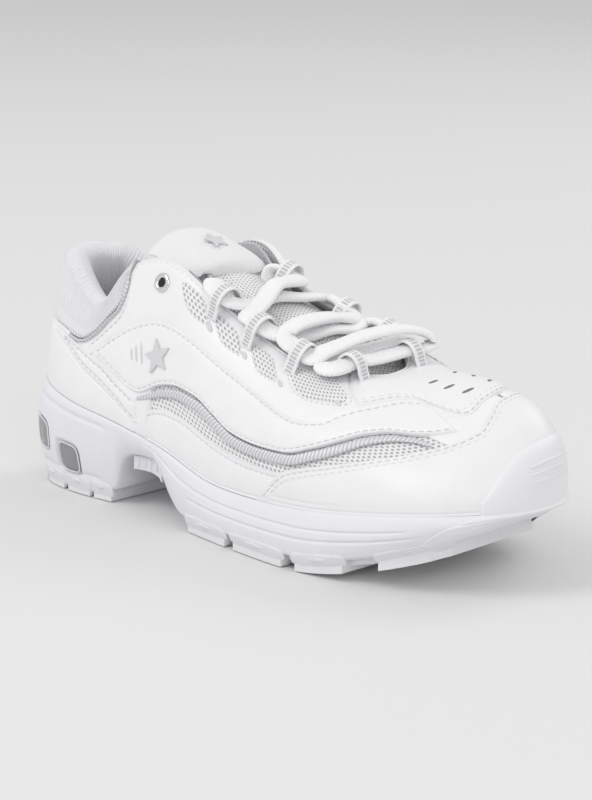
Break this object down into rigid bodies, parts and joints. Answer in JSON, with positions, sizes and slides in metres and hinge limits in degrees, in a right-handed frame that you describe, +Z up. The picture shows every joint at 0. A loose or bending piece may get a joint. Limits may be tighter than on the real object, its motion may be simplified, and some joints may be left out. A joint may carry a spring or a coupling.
{
  "type": "cheer shoe",
  "caption": "Chunky white lace-up trainer for cheerleading: leather and mesh upper, padded collar and tongue, laced through webbing loops, on a thick arched sole.",
  "frame": {"origin": "centre of the bounding box in plan, on the ground under the sole", "axes": "+X towards the toe, +Y towards the inner side of a right foot, +Z up"},
  "size_m": [0.2858, 0.1093, 0.1218],
  "materials": {
    "aglet": "clear coated",
    "shank_plastic": "moulded",
    "collar_textile": "ribbed knit",
    "piping": "silver cord",
    "eyelet_metal": "polished",
    "leather": "smooth",
    "stiffener": "thermoplastic sheet",
    "board": "strobel board",
    "window_plastic": "smoked",
    "lace": "padded flat weave",
    "webbing": "striped webbing",
    "lining_textile": "soft knit",
    "air_mesh": "open mesh",
    "foam": "moulded foam",
    "outsole_rubber": "moulded",
    "emblem": "raised",
    "footbed_foam": "foam under fabric",
    "bumper_rubber": "moulded",
    "tongue_textile": "padded"
  },
  "bodies": {
    "shoe": {"aglet_lateral": "aglet", "aglet_medial": "aglet", "arch_shank": "shank_plastic", "collar_pad": "collar_textile", "collar_piping_lateral": "piping", "collar_piping_medial": "piping", "eyelet_lateral": "eyelet_metal", "eyelet_medial": "eyelet_metal", "eyestay_lateral": "leather", "eyestay_medial": "leather", "heel_counter": "stiffener", "heel_cover": "leather", "heel_strap_lateral": "leather", "heel_strap_medial": "leather", "heel_window_lateral_1": "window_plastic", "heel_window_lateral_2": "window_plastic", "heel_window_medial_1": "window_plastic", "heel_window_medial_2": "window_plastic", "insole_board": "board", "lace": "lace", "lace_loop_1_lateral": "webbing", "lace_loop_1_medial": "webbing", "lace_loop_2_lateral": "webbing", "lace_loop_2_medial": "webbing", "lace_loop_3_lateral": "webbing", "lace_loop_3_medial": "webbing", "lace_loop_4_lateral": "webbing", "lace_loop_4_medial": "webbing", "lining": "lining_textile", "mesh_base_lateral": "air_mesh", "mesh_base_medial": "air_mesh", "midsole": "foam", "outsole_forefoot": "outsole_rubber", "outsole_heel": "outsole_rubber", "quarter_emblem_lateral": "emblem", "quarter_emblem_medial": "emblem", "quarter_lateral": "leather", "quarter_medial": "leather", "side_panel_lateral": "leather", "side_panel_medial": "leather", "toe_bumper": "bumper_rubber", "toe_cap": "leather", "toe_puff": "stiffener", "tongue_lower": "air_mesh", "vamp_saddle": "leather", "wave_piping_lateral": "piping", "wave_piping_medial": "piping"},
    "tongue": {"tongue_pad": "tongue_textile", "tongue_emblem": "emblem"},
    "footbed": {"sockliner": "footbed_foam"}
  },
  "joints": [
    {"name": "tongue_flex", "type": "hinge", "parent": "shoe", "child": "tongue", "pos_m": [-0.0322, 0.0048, 0.1076], "axis": [0.2308, 0.973, 0], "range_deg": [0, 38], "stiffness_Nm_per_rad": 0.2},
    {"name": "footbed_lift", "type": "hinge", "parent": "shoe", "child": "footbed", "pos_m": [0.1295, -0.0002, 0.0362], "axis": [0, 1, 0], "range_deg": [0, 3]}
  ]
}
